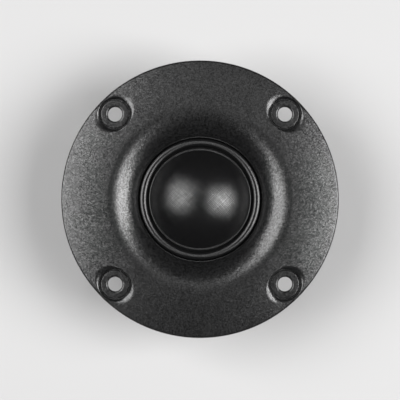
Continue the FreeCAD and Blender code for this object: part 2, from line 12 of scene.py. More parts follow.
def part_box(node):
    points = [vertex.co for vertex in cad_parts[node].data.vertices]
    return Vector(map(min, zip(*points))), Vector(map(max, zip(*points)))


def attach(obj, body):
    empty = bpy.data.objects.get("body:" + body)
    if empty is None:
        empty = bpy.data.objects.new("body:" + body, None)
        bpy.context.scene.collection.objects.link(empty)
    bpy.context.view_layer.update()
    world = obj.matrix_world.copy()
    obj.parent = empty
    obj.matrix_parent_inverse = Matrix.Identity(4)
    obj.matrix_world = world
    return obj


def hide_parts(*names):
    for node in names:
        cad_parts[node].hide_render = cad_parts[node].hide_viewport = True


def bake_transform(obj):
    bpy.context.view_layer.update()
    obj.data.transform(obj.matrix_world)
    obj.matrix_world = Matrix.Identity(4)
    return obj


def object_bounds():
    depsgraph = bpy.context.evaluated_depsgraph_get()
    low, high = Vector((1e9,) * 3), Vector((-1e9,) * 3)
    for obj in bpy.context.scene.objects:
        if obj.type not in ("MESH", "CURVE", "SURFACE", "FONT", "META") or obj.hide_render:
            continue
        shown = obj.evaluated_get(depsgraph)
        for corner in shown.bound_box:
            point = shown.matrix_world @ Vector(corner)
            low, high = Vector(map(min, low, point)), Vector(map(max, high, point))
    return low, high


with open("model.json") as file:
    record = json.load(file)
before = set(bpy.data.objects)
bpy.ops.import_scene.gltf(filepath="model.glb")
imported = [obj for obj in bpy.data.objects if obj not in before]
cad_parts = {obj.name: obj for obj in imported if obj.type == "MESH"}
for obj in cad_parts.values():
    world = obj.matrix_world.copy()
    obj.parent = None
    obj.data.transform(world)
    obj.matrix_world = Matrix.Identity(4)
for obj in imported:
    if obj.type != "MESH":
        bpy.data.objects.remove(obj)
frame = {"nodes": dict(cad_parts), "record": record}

CAD_LOW, CAD_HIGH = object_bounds()
MM = 0.001
HOUSING = "housing"
DIAPHRAGM = "diaphragm"
SEED = 7


# ---------------------------------------------------------------- sizes, in millimetres

def box_mm(node):
    """A node's lowest and highest corners in millimetres."""
    low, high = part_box(node)
    return [c / MM for c in low], [c / MM for c in high]


def mount(name):
    return next(m for m in frame["record"]["mounts"] if m["name"] == name)


PLATE_LOW, PLATE_HIGH = box_mm("faceplate")
DOME_LOW, DOME_HIGH = box_mm("dome")
ROLL_HIGH = box_mm("surround")[1]
GASKET_LOW, GASKET_HIGH = box_mm("flange_gasket")

# flange: rounded rim, fall from the crest, flare of the mouth and rounded lip of the throat
FLANGE_RADIUS = PLATE_HIGH[0]
CROWN = PLATE_HIGH[2]
RIM_FRONT = 2.6
RIM_ROUND = 0.5
RIM_CORNER = FLANGE_RADIUS - RIM_ROUND
MOUTH_RADIUS = 24.0
CREST_SLOPE = 0.42
FLARE_RADIUS = 10.79
THROAT_RADIUS = 16.0
LIP_EDGE = 16.35
LIP_WIDTH = 0.5
LIP_DROP = 0.25

# flange from behind: gasket groove, and the land that holds the diaphragm ring
REAR_CHAMFER = 0.2
GASKET_INNER = 25.4
GASKET_OUTER = GASKET_HIGH[0]
GASKET_DEPTH = GASKET_HIGH[2]
LAND_BACK = PLATE_LOW[2]
LAND_INNER = 19.2
LAND_OUTER = 23.25
LAND_CHAMFER = 0.3
CLAMP_FACE = DOME_LOW[2]

# screw holes: flared hole, raised pad, round well and oval recess
SCREW_CIRCLE = mount("screw_holes")["dims"]["pcd_mm"] / 2
SCREW_HOLE = mount("screw_holes")["dims"]["hole_r_mm"]
SCREW_COUNT = mount("screw_holes")["dims"]["count"]
SCREW_AZIMUTHS = [math.radians(45 + 90 * i) for i in range(SCREW_COUNT)]
HOLE_FLARE = 0.5
FLARE_DEPTH = 0.3
PAD_RADIUS = 3.7
PAD_FRONT = 1.65
PAD_EDGE = 0.2
WELL_RADIUS = 3.98
WELL_FLOOR = 1.4
RECESS_LONG = 5.8
RECESS_WIDE = 4.3
RECESS_DEPTH = 0.5
RECESS_CURVE = 0.88

# dome, bead and surround
SILK = 0.2
DOME_RADIUS = DOME_HIGH[0]
DOME_FOOT = DOME_LOW[2]
DOME_TOP = DOME_HIGH[2]
WEAVE_PITCH = 0.42
BEAD_RADIUS = 13.2
BEAD_SIZE = 0.1
GROOVE_DEPTH = 0.8
ROLL_INNER = 13.93
ROLL_OUTER = 15.85
ROLL_HEIGHT = ROLL_HIGH[2] - CLAMP_FACE
GAP_DEPTH = 0.6
CLAMP_INNER = 16.2
SURROUND_OUTER = ROLL_HIGH[0]

# felt, leads and windings
FELT_HOLE = 6.5
LEAD_RADIUS = 0.15
LEAD_START = 2.6
LEAD_CREST = -3.6
LEAD_TAIL = 5 * LEAD_RADIUS
TAG_INSET = 1.0
STRAND_PITCH = 0.12
WIRE_PITCH = 0.14


# ---------------------------------------------------------------- mesh helpers

def new_object(name, vertices, faces, smooth_angle=35.0):
    """A mesh object from vertices in millimetres, shaded smooth except at its sharper edges."""
    mesh = bpy.data.meshes.new(name)
    mesh.from_pydata([tuple(c * MM for c in v) for v in vertices], [], faces)
    mesh.validate()
    weld(mesh)
    mesh.shade_smooth()
    mesh.set_sharp_from_angle(angle=math.radians(smooth_angle))
    piece = bpy.data.objects.new(name, mesh)
    bpy.context.scene.collection.objects.link(piece)
    return piece


def weld(mesh, distance=1e-6):
    """Join the vertices that strips share, and turn all faces outwards."""
    work = bmesh.new()
    work.from_mesh(mesh)
    bmesh.ops.remove_doubles(work, verts=work.verts, dist=distance)
    bmesh.ops.recalc_face_normals(work, faces=work.faces)
    work.to_mesh(mesh)
    work.free()


def lathe(profile, segments, closed=True):
    """Vertices and quads of a profile of (radius, height) turned about Z."""
    vertices = []
    for radius, height in profile:
        for k in range(segments):
            angle = 2 * math.pi * k / segments
            vertices.append((radius * math.cos(angle), radius * math.sin(angle), height))
    faces = []
    rows = len(profile) if closed else len(profile) - 1
    for row in range(rows):
        following = (row + 1) % len(profile)
        for k in range(segments):
            side = (k + 1) % segments
            lower, upper = row * segments, following * segments
            faces.append((lower + k, lower + side, upper + side, upper + k))
    return vertices, faces


def merge(*parts):
    """One list of vertices and one of faces from several."""
    vertices, faces = [], []
    for part_vertices, part_faces in parts:
        offset = len(vertices)
        vertices.extend(part_vertices)
        faces.extend(tuple(i + offset for i in face) for face in part_faces)
    return vertices, faces


def oval_arc(centre, half_width, height, start, stop, steps):
    """Points (radius, height) on an ellipse, from one angle in degrees to another."""
    angles = [math.radians(start + (stop - start) * i / steps) for i in range(steps + 1)]
    return [
        (centre[0] + half_width * math.cos(a), centre[1] + height * math.sin(a)) for a in angles
    ]


def arc(centre, radius, start, stop, steps):
    """Points (radius, height) on a circle, from one angle in degrees to another."""
    return oval_arc(centre, radius, radius, start, stop, steps)


# ---------------------------------------------------------------- faceplate

RIM_SEGMENTS = 720
PLAN_SEGMENTS = RIM_SEGMENTS // 2
HOLE_SEGMENTS = 96
RIM_STEPS = 8
FLARE_RINGS = 33
OVAL_RINGS = 21
MAIN_STEP = 0.45
OVAL_MARGIN = 0.55
RADIUS_DIGITS = 4
POINT_DIGITS = 5
TINY = 1e-6
NEARLY_ZERO = 1e-9
CDT_MARGIN = 1e-7
HOLE_EDGE_SHARE = 0.9995


def crown_height(radius):
    """Height of the plate's front without its recesses, for an array of radii."""
    span = RIM_CORNER - MOUTH_RADIUS
    drop = CROWN - RIM_FRONT
    outwards = np.clip((radius - MOUTH_RADIUS) / span, 0, 1)
    flange = CROWN - drop * outwards * (CREST_SLOPE + (1 - CREST_SLOPE) * outwards)
    inwards = np.clip(MOUTH_RADIUS - radius, 0, MOUTH_RADIUS - THROAT_RADIUS)
    flare = CROWN - FLARE_RADIUS + np.sqrt(FLARE_RADIUS**2 - inwards**2)
    lip = np.clip((LIP_EDGE + LIP_WIDTH - radius) / LIP_WIDTH, 0, 1)
    flare -= LIP_DROP * (1 - np.sqrt(1 - lip**2))
    past = np.clip(radius - RIM_CORNER, 0, RIM_ROUND)
    rim = RIM_FRONT - RIM_ROUND + np.sqrt(RIM_ROUND**2 - past**2)
    height = np.where(radius < MOUTH_RADIUS, flare, flange)
    return np.where(radius > RIM_CORNER, rim, height)


def recess_depth(along, across):
    """Depth of an oval recess whose sides roll over, ever steeper, into the round well."""
    out = np.maximum(np.hypot(along, across), NEARLY_ZERO)
    edge = out / np.hypot(along / RECESS_LONG, across / RECESS_WIDE)
    inwards = np.clip((edge - out) / (edge - WELL_RADIUS), 0, 1)
    steepness = 1 - np.sqrt(1 - (RECESS_CURVE * inwards) ** 2)
    return RECESS_DEPTH * steepness / (1 - math.sqrt(1 - RECESS_CURVE**2))


def well_height(out):
    """Height inside the round well: a flat pad with a rounded edge and a flare at its hole."""
    past = np.clip(out - (PAD_RADIUS - PAD_EDGE), 0, PAD_EDGE)
    pad = PAD_FRONT - PAD_EDGE + np.sqrt(PAD_EDGE**2 - past**2)
    flare = np.clip((SCREW_HOLE + HOLE_FLARE - out) / HOLE_FLARE, 0, 1)
    pad -= FLARE_DEPTH * (1 - np.sqrt(1 - flare**2))
    return np.where(out > PAD_RADIUS + TINY, WELL_FLOOR, pad)


def from_hole(x, y, azimuth):
    """How far points lie from a screw hole's centre, along and across its oval recess."""
    across = x * math.cos(azimuth) + y * math.sin(azimuth) - SCREW_CIRCLE
    along = -x * math.sin(azimuth) + y * math.cos(azimuth)
    return along, across


def front_height(x, y):
    """Height of the moulded front at each point of the plan, recesses and all.

    Radii are rounded, so that the arcs of rim and lip end exactly on the walls that meet them.
    """
    height = crown_height(np.hypot(x, y).round(RADIUS_DIGITS))
    for azimuth in SCREW_AZIMUTHS:
        along, across = from_hole(x, y, azimuth)
        near = np.abs(across) < RECESS_WIDE + OVAL_MARGIN
        near &= np.abs(along) < RECESS_LONG + OVAL_MARGIN
        out = np.hypot(along[near], across[near])
        dimple = height[near] - recess_depth(along[near], across[near])
        height[near] = np.where(out < WELL_RADIUS - TINY, well_height(out), dimple)
    return height


def ring_points(radius, count, centre=(0.0, 0.0), phase=0.0):
    """Plan points evenly spaced on a circle."""
    angles = phase + 2 * np.pi * np.arange(count) / count
    x = centre[0] + radius * np.cos(angles)
    y = centre[1] + radius * np.sin(angles)
    return np.column_stack((x, y))


def hole_centre(azimuth):
    return (SCREW_CIRCLE * math.cos(azimuth), SCREW_CIRCLE * math.sin(azimuth))


def recess_halves():
    """Half lengths and widths of the rings round a hole: circles over pad and well, then ovals."""
    flare_shares = (0.1, 0.3, 0.5, 0.75, 1)
    edge_shares = (0.3, 0.55, 0.75, 0.9, 1)
    oval_margins = (0.15, 0.35)
    well_margin = 0.03
    pad_rings = 5
    pad_flat = PAD_RADIUS - PAD_EDGE
    circles = [SCREW_HOLE + HOLE_FLARE * share for share in flare_shares]
    circles += list(np.linspace(SCREW_HOLE + HOLE_FLARE, pad_flat, pad_rings + 1)[1:])
    circles += [PAD_RADIUS - PAD_EDGE * (1 - share) for share in edge_shares]
    circles += [PAD_RADIUS + well_margin, WELL_RADIUS - well_margin, WELL_RADIUS]
    halves = [(r, r) for r in circles]
    for share in np.linspace(0, 1, OVAL_RINGS + 1)[1:]:
        long_half = WELL_RADIUS + (RECESS_LONG - WELL_RADIUS) * share
        wide_half = WELL_RADIUS + (RECESS_WIDE - WELL_RADIUS) * share
        halves.append((long_half, wide_half))
    return halves + [(RECESS_LONG + margin, RECESS_WIDE + margin) for margin in oval_margins]


def around_hole(azimuth):
    """Plan points round one screw hole, as far as they stay clear of the rim."""
    rim_margin = 0.04
    radial = np.array((math.cos(azimuth), math.sin(azimuth)))
    tangent = np.array((-math.sin(azimuth), math.cos(azimuth)))
    centre = np.array(hole_centre(azimuth))
    angles = 2 * np.pi * np.arange(2 * HOLE_SEGMENTS) / (2 * HOLE_SEGMENTS)
    rings = [
        centre
        + np.outer(wide_half * np.cos(angles), radial)
        + np.outer(long_half * np.sin(angles), tangent)
        for long_half, wide_half in recess_halves()
    ]
    points = np.vstack(rings)
    return points[np.hypot(points[:, 0], points[:, 1]) < RIM_CORNER - rim_margin]


def clear_of_holes(points, long_half, wide_half):
    """The plan points that lie outside an oval round every screw hole."""
    keep = np.ones(len(points), bool)
    for azimuth in SCREW_AZIMUTHS:
        along, across = from_hole(points[:, 0], points[:, 1], azimuth)
        keep &= (along / long_half) ** 2 + (across / wide_half) ** 2 > 1
    return points[keep]


def skin(outer, inner, holes, interior, height, flip=False):
    """A triangulated skin between an outer loop, an inner loop and round holes."""
    loops = [outer, inner] + holes
    boundary = np.vstack(loops)
    edges = []
    start = 0
    for loop in loops:
        count = len(loop)
        edges.extend((start + k, start + (k + 1) % count) for k in range(count))
        start += count
    points = np.vstack((boundary, interior))
    made = delaunay_2d_cdt([Vector(p) for p in points.tolist()], edges, [], 0, CDT_MARGIN)
    flat = np.array([tuple(v) for v in made[0]])
    triangles = np.array([tuple(face) for face in made[2]])
    middle = flat[triangles].mean(axis=1)
    keep = np.hypot(middle[:, 0], middle[:, 1]) > np.hypot(*inner[0])
    keep &= np.hypot(middle[:, 0], middle[:, 1]) < np.hypot(*outer[0])
    for azimuth in SCREW_AZIMUTHS:
        cx, cy = hole_centre(azimuth)
        keep &= np.hypot(middle[:, 0] - cx, middle[:, 1] - cy) > SCREW_HOLE * HOLE_EDGE_SHARE
    z = height(flat[:, 0], flat[:, 1])
    vertices = [(x, y, h) for (x, y), h in zip(flat.tolist(), z.tolist())]
    order = triangles[keep][:, ::-1] if flip else triangles[keep]
    return vertices, [tuple(face) for face in order.tolist()]


def hole_wall(azimuth, back):
    """The wall of one screw hole."""
    loop = ring_points(SCREW_HOLE, HOLE_SEGMENTS, hole_centre(azimuth))
    heights = front_height(loop[:, 0], loop[:, 1])
    vertices = [(x, y, back) for x, y in loop.tolist()]
    vertices += [(x, y, h) for (x, y), h in zip(loop.tolist(), heights.tolist())]
    count = HOLE_SEGMENTS
    faces = [(k, (k + 1) % count, count + (k + 1) % count, count + k) for k in range(count)]
    return vertices, faces


def front_points():
    """The plan points inside the front skin, densest where it curves most."""
    turns = np.linspace(0, math.pi / 2, RIM_STEPS + 1)[:-1]
    lip_shares = (0.005, 0.02, 0.05, 0.1, 0.18, 0.3, 0.45, 0.6, 0.8, 1.0)
    flare = np.linspace(LIP_EDGE + LIP_WIDTH, MOUTH_RADIUS, FLARE_RINGS + 1)[1:]
    rings = [ring_points(RIM_CORNER + RIM_ROUND * math.sin(turn), RIM_SEGMENTS) for turn in turns]
    rings += [ring_points(LIP_EDGE + LIP_WIDTH * share, PLAN_SEGMENTS) for share in lip_shares]
    rings += [ring_points(radius, PLAN_SEGMENTS) for radius in flare]
    radius = MOUTH_RADIUS + MAIN_STEP
    staggered = True
    while radius < RIM_CORNER - MAIN_STEP / 2:
        phase = math.pi / PLAN_SEGMENTS if staggered else 0.0
        rings.append(ring_points(radius, PLAN_SEGMENTS, phase=phase))
        staggered = not staggered
        radius += MAIN_STEP
    long_half, wide_half = RECESS_LONG + OVAL_MARGIN, RECESS_WIDE + OVAL_MARGIN
    rings = [clear_of_holes(points, long_half, wide_half) for points in rings]
    rings.append(ring_points(RIM_CORNER, RIM_SEGMENTS))
    rings += [around_hole(azimuth) for azimuth in SCREW_AZIMUTHS]
    return np.unique(np.vstack(rings).round(POINT_DIGITS), axis=0)


def front_skin(holes):
    outer = ring_points(FLANGE_RADIUS, RIM_SEGMENTS)
    inner = ring_points(LIP_EDGE, PLAN_SEGMENTS)
    return skin(outer, inner, holes, front_points(), front_height)


def back_skin(holes):
    """The flat face that lies on the panel."""
    radii = (28.5, 30, 31.5, 33, 34.5)
    hole_margin = 0.4
    clearance = SCREW_HOLE + hole_margin
    outer = ring_points(FLANGE_RADIUS - REAR_CHAMFER, RIM_SEGMENTS)
    inner = ring_points(GASKET_OUTER, PLAN_SEGMENTS)
    rings = np.vstack([ring_points(radius, RIM_SEGMENTS // 4) for radius in radii])
    interior = clear_of_holes(rings, clearance, clearance)
    return skin(outer, inner, holes, interior, lambda x, y: np.zeros_like(x), flip=True)


def side_wall():
    profile = [
        (FLANGE_RADIUS, RIM_FRONT - RIM_ROUND),
        (FLANGE_RADIUS, REAR_CHAMFER),
        (FLANGE_RADIUS - REAR_CHAMFER, 0),
    ]
    return lathe(profile, RIM_SEGMENTS, closed=False)


def rear_walls():
    """Gasket groove, land and throat, from the panel face inwards."""
    profile = [
        (GASKET_OUTER, 0),
        (GASKET_OUTER, GASKET_DEPTH),
        (GASKET_INNER, GASKET_DEPTH),
        (GASKET_INNER, 0),
        (LAND_OUTER, 0),
        (LAND_OUTER, LAND_BACK + LAND_CHAMFER),
        (LAND_OUTER - LAND_CHAMFER, LAND_BACK),
        (LAND_INNER, LAND_BACK),
        (LAND_INNER, CLAMP_FACE),
        (LIP_EDGE, CLAMP_FACE),
        (LIP_EDGE, float(crown_height(np.array([LIP_EDGE]))[0])),
    ]
    return lathe(profile, PLAN_SEGMENTS, closed=False)


def make_faceplate():
    """The moulding: a fine front skin with its recesses, and turned walls behind it."""
    holes = [ring_points(SCREW_HOLE, HOLE_SEGMENTS, hole_centre(a)) for a in SCREW_AZIMUTHS]
    walls = [hole_wall(azimuth, 0) for azimuth in SCREW_AZIMUTHS]
    shell = merge(front_skin(holes), back_skin(holes), side_wall(), rear_walls(), *walls)
    return new_object("faceplate_moulding", *shell)


# ---------------------------------------------------------------- diaphragm

def cap_profile(base, foot, rise, steps):
    """Points (radius, height) up a spherical cap from its foot, leaving out the very top."""
    sweep = (base**2 + rise**2) / (2 * rise)
    lean = math.asin(base / sweep)
    turns = [lean * (1 - i / steps) for i in range(steps)]
    return [(sweep * math.sin(t), foot + rise - sweep * (1 - math.cos(t))) for t in turns]


def make_dome():
    """A thin silk cap, closed underneath by its inner face."""
    segments = 256
    foot_width = 0.3
    rise = DOME_TOP - DOME_FOOT
    outside = cap_profile(DOME_RADIUS, DOME_FOOT, rise, steps=64)
    inside = cap_profile(DOME_RADIUS - foot_width, DOME_FOOT, rise - SILK, steps=24)
    shell, faces = lathe(inside[::-1] + outside, segments, closed=False)
    for row, height in ((0, DOME_TOP - SILK), (len(inside) + len(outside) - 1, DOME_TOP)):
        tip = len(shell)
        shell.append((0, 0, height))
        loop = [row * segments + k for k in range(segments)]
        faces += [(loop[k], loop[(k + 1) % segments], tip) for k in range(segments)]
    return new_object("dome_silk", shell, faces, smooth_angle=60)


def surround_profile():
    """The roll's section: foot, groove, half roll, gap and flat edge, then back underneath."""
    half = (ROLL_OUTER - ROLL_INNER) / 2
    middle = (ROLL_OUTER + ROLL_INNER) / 2
    groove = (BEAD_RADIUS + BEAD_SIZE + ROLL_INNER) / 2
    groove_floor = CLAMP_FACE - GROOVE_DEPTH
    floor_half, floor_rise = 0.06, 0.05
    floor_under = 0.15
    bead_margin = 0.02
    clamp_margin = 0.03
    gap = (ROLL_OUTER + CLAMP_INNER) / 2
    gap_floor = CLAMP_FACE - GAP_DEPTH
    underside = CLAMP_FACE - SILK
    top = [
        (DOME_RADIUS, CLAMP_FACE),
        (BEAD_RADIUS + BEAD_SIZE + bead_margin, CLAMP_FACE - bead_margin),
        (groove - floor_half, groove_floor + floor_rise),
        (groove, groove_floor),
        (groove + floor_half, groove_floor + floor_rise),
        *oval_arc((middle, CLAMP_FACE), half, ROLL_HEIGHT, 180, 0, steps=36),
        (gap, gap_floor),
        (CLAMP_INNER, CLAMP_FACE),
        (SURROUND_OUTER, CLAMP_FACE),
    ]
    under = [
        (SURROUND_OUTER, underside),
        (CLAMP_INNER - clamp_margin, underside),
        (gap, gap_floor - SILK),
        *oval_arc((middle, CLAMP_FACE), half - SILK, ROLL_HEIGHT - SILK, 0, 180, steps=18),
        (groove + floor_under, groove_floor - SILK),
        (groove - floor_under, groove_floor - SILK),
        (DOME_RADIUS, underside),
    ]
    return top + under


def make_surround():
    return new_object("surround_roll", *lathe(surround_profile(), segments=512), smooth_angle=50)


def make_bead():
    """The bead of adhesive at the dome's foot, which bonds dome, former and surround."""
    profile = arc((BEAD_RADIUS, CLAMP_FACE), BEAD_SIZE, 180, 0, steps=10)
    return new_object("bond_bead", *lathe(profile, segments=360), smooth_angle=60)


# ---------------------------------------------------------------- leads

def lead_route():
    """Control points of the positive lead, from the winding's front edge over a bow to its tag."""
    start_y = -math.sqrt((DOME_RADIUS + LEAD_RADIUS) ** 2 - LEAD_START**2)
    winding_front = box_mm("voice_coil_winding")[1][2]
    tag = box_mm("solder_tags")[1]
    tag_x = tag[0] - TAG_INSET
    tag_y = tag[1]
    tag_z = tag[2] + LEAD_RADIUS
    return [
        (LEAD_START, start_y, winding_front),
        (LEAD_START, start_y, LEAD_CREST),
        ((LEAD_START + tag_x) / 2, (start_y + tag_y) / 2, LEAD_CREST),
        (tag_x, tag_y - LEAD_RADIUS, tag_z),
        (tag_x, tag_y - LEAD_TAIL, tag_z),
    ]


def make_lead(label, route, sign):
    """A fine flexible lead along its route, as a tube. sign -1 mirrors it to the other side."""
    data = bpy.data.curves.new(label, "CURVE")
    data.dimensions = "3D"
    spline = data.splines.new("NURBS")
    spline.points.add(len(route) - 1)
    for point, (x, y, z) in zip(spline.points, route):
        point.co = (sign * x * MM, y * MM, z * MM, 1)
    spline.order_u = 3
    spline.use_endpoint_u = True
    spline.resolution_u = 16
    data.bevel_depth = LEAD_RADIUS * MM
    data.bevel_resolution = 4
    data.use_fill_caps = True
    curve = bpy.data.objects.new(label + "_curve", data)
    bpy.context.scene.collection.objects.link(curve)
    bpy.context.view_layer.update()
    drawn = curve.evaluated_get(bpy.context.evaluated_depsgraph_get())
    mesh = bpy.data.meshes.new_from_object(drawn)
    mesh.name = label
    bpy.data.objects.remove(curve)
    piece = bpy.data.objects.new(label, mesh)
    bpy.context.scene.collection.objects.link(piece)
    return piece


# ---------------------------------------------------------------- felt and foam

def make_soft_ring(name, low, high, inner, rounding, roughness, segments=160):
    """A ring or disc of felt or foam with rounded edges and a slightly uneven surface."""
    random.seed(SEED)
    outer = high[0]
    edge_steps = 5
    face_shares = (0.8, 0.55, 0.3, 0.02)
    profile = []
    corners = [
        ((outer - rounding, high[2] - rounding), 90, 0),
        ((outer - rounding, low[2] + rounding), 0, -90),
    ]
    if inner > 0:
        corners += [
            ((inner + rounding, low[2] + rounding), 270, 180),
            ((inner + rounding, high[2] - rounding), 180, 90),
        ]
    for centre, start, stop in corners:
        profile += arc(centre, rounding, start, stop, edge_steps)
    if inner <= 0:
        profile += [(outer * share, low[2]) for share in face_shares]
        profile += [(outer * share, high[2]) for share in reversed(face_shares)]
    vertices, faces = lathe(profile, segments)
    vertices = [
        tuple(c - roughness * random.random() * (c / max(abs(c), TINY)) for c in vertex)
        for vertex in vertices
    ]
    return new_object(name, vertices, faces, smooth_angle=80)


# ---------------------------------------------------------------- materials

CELL_SMOOTHNESS = 0.6
STRAY_PITCHES = 2.2


class Nodes:
    """A material's node tree, with short calls for the nodes used here."""

    def __init__(self, name):
        self.material = bpy.data.materials.new(name)
        self.material.use_nodes = True
        self.tree = self.material.node_tree
        self.shader = self.tree.nodes["Principled BSDF"]
        coordinates = self.tree.nodes.new("ShaderNodeTexCoord")
        self.place = coordinates.outputs["Object"]
        self.oblique = self.mapped(rotation=(0.6, 0.4, 0.3))

    def set(self, **values):
        for name, value in values.items():
            self.shader.inputs[name.replace("_", " ")].default_value = value

    def link(self, source, target):
        self.tree.links.new(source, target)

    def math(self, operation, *inputs):
        node = self.tree.nodes.new("ShaderNodeMath")
        node.operation = operation
        for socket, value in zip(node.inputs, inputs):
            if isinstance(value, (int, float)):
                socket.default_value = value
            else:
                self.link(value, socket)
        return node.outputs[0]

    def mapped(self, rotation=(0, 0, 0), scale=(1, 1, 1)):
        """The object's own coordinates, turned and then stretched."""
        turned = self.tree.nodes.new("ShaderNodeMapping")
        turned.inputs["Rotation"].default_value = rotation
        self.link(self.place, turned.inputs["Vector"])
        stretched = self.tree.nodes.new("ShaderNodeMapping")
        stretched.inputs["Scale"].default_value = scale
        self.link(turned.outputs["Vector"], stretched.inputs["Vector"])
        return stretched.outputs["Vector"]

    def noise(self, size_mm, detail=2.0, roughness=0.5, place=None):
        node = self.tree.nodes.new("ShaderNodeTexNoise")
        node.inputs["Scale"].default_value = 1 / (size_mm * MM)
        node.inputs["Detail"].default_value = detail
        node.inputs["Roughness"].default_value = roughness
        self.link(place or self.oblique, node.inputs["Vector"])
        return node.outputs["Fac"]

    def vector_math(self, operation, *inputs):
        node = self.tree.nodes.new("ShaderNodeVectorMath")
        node.operation = operation
        for socket, value in zip(node.inputs, inputs):
            if isinstance(value, tuple):
                socket.default_value = value
            else:
                self.link(value, socket)
        return node.outputs[0]

    def facets(self, size_mm, tilt):
        """Small cells: a random number for each, and a normal that leans at random in each."""
        cells = self.tree.nodes.new("ShaderNodeTexVoronoi")
        cells.feature = "SMOOTH_F1"
        cells.inputs["Smoothness"].default_value = CELL_SMOOTHNESS
        cells.inputs["Scale"].default_value = 1 / (size_mm * MM)
        self.link(self.oblique, cells.inputs["Vector"])
        centred = self.vector_math("SUBTRACT", cells.outputs["Color"], (0.5, 0.5, 0.5))
        lean = self.vector_math("MULTIPLY", centred, (tilt, tilt, tilt))
        upright = self.tree.nodes.new("ShaderNodeNewGeometry").outputs["Normal"]
        channels = self.tree.nodes.new("ShaderNodeSeparateColor")
        self.link(cells.outputs["Color"], channels.inputs["Color"])
        normal = self.vector_math("NORMALIZE", self.vector_math("ADD", upright, lean))
        return channels.outputs["Blue"], normal

    def ramp(self, value, *stops):
        """A colour ramp. Each stop is a position with a colour, or with one number for grey."""
        node = self.tree.nodes.new("ShaderNodeValToRGB")
        elements = node.color_ramp.elements
        while len(elements) < len(stops):
            elements.new(0.5)
        for element, (position, colour) in zip(elements, stops):
            element.position = position
            if isinstance(colour, (int, float)):
                colour = (colour, colour, colour)
            element.color = (*colour, 1)
        self.link(value, node.inputs["Fac"])
        return node.outputs["Color"]

    def bump(self, height, distance_mm):
        node = self.tree.nodes.new("ShaderNodeBump")
        node.inputs["Strength"].default_value = 1.0
        node.inputs["Distance"].default_value = distance_mm * MM
        self.link(height, node.inputs["Height"])
        return node.outputs["Normal"]

    def weave(self, pitch_mm, wander=0.0):
        """Plain weave on the bias, in plan. wander is how far threads stray, in pitches."""
        split = self.tree.nodes.new("ShaderNodeSeparateXYZ")
        self.link(self.place, split.inputs[0])
        stray = self.noise(STRAY_PITCHES * pitch_mm, detail=2)
        threads = []
        for sign in (1, -1):
            sideways = self.math("MULTIPLY", split.outputs["Y"], sign)
            across = self.math("ADD", split.outputs["X"], sideways)
            turns = self.math("MULTIPLY", across, math.pi / math.sqrt(2) / (pitch_mm * MM))
            turns = self.math("ADD", turns, self.math("MULTIPLY", stray, 2 * math.pi * wander))
            threads.append(self.math("ABSOLUTE", self.math("SINE", turns)))
        return self.math("MULTIPLY", self.math("ADD", *threads), 0.5)


def moulded_plastic(name, colour, roughness, grain_mm, tilt, speckle):
    """Black plastic with a spark-eroded grain: tiny facets, each with its own lean and gloss, and
    each facet's colour painted lighter or darker at random as painted glints.
    """
    n = Nodes(name)
    painted_glint_dark_share, painted_glint_bright_share = 0.2, 1.8
    glint, normal = n.facets(grain_mm, tilt)
    # Painted glints and painted shade: each facet's colour is made lighter or darker at random.
    # This stands in for the grain's glints and unlit facets where the lamps give none.
    dark = tuple(c * painted_glint_dark_share for c in colour)
    painted_glint_bright = tuple(c * painted_glint_bright_share for c in colour)
    n.link(n.ramp(glint, (0, dark), (1, painted_glint_bright)), n.shader.inputs["Base Color"])
    gloss = n.ramp(glint, (0, 0.5 - speckle), (1, 0.5 + speckle))
    n.link(gloss, n.shader.inputs["Specular IOR Level"])
    worn = n.ramp(n.noise(6.0, detail=2), (0.3, roughness - 0.01), (0.7, roughness + 0.015))
    n.link(worn, n.shader.inputs["Roughness"])
    n.link(normal, n.shader.inputs["Normal"])
    n.set(IOR=1.58)
    return n.material


def coated_silk(name, colour, roughness, pitch_mm, relief_mm):
    """Black silk under a thin damping coat: threads on the bias, each with its own gloss."""
    n = Nodes(name)
    along_thread = (1.05, 0.14, 0.14)
    threads = n.weave(pitch_mm, wander=0.1)
    warp = n.noise(pitch_mm, detail=1, place=n.mapped((0, 0, math.pi / 4), along_thread))
    weft = n.noise(pitch_mm, detail=1, place=n.mapped((0, 0, -math.pi / 4), along_thread))
    streaks = n.math("MULTIPLY", n.math("ADD", warp, weft), 0.5)
    dark = tuple(c * 0.6 for c in colour)
    n.link(n.ramp(threads, (0.1, dark), (0.95, colour)), n.shader.inputs["Base Color"])
    n.link(n.ramp(streaks, (0.3, 0.2), (0.7, 0.75)), n.shader.inputs["Specular IOR Level"])
    gloss = n.math("ADD", n.math("MULTIPLY", streaks, 0.1), roughness - 0.05)
    n.link(gloss, n.shader.inputs["Roughness"])
    height = n.math("ADD", threads, n.math("MULTIPLY", streaks, 0.5))
    n.link(n.bump(height, relief_mm), n.shader.inputs["Normal"])
    n.set(IOR=1.5)
    return n.material


def formed_silk(name, colour, roughness, wrinkle_mm):
    """Coated silk drawn round the roll: its gloss spreads along the roll, over faint wrinkles."""
    n = Nodes(name)
    wrinkles = n.noise(wrinkle_mm, detail=2)
    shade = tuple(c * 0.7 for c in colour)
    n.link(n.ramp(wrinkles, (0.3, shade), (0.7, colour)), n.shader.inputs["Base Color"])
    n.link(n.ramp(wrinkles, (0.3, 0.35), (0.7, 0.6)), n.shader.inputs["Specular IOR Level"])
    n.link(n.bump(wrinkles, 0.01), n.shader.inputs["Normal"])
    along = n.tree.nodes.new("ShaderNodeTangent")
    along.direction_type = "RADIAL"
    along.axis = "Z"
    n.link(along.outputs["Tangent"], n.shader.inputs["Tangent"])
    n.set(Roughness=roughness, Anisotropic=0.85, IOR=1.5)
    return n.material


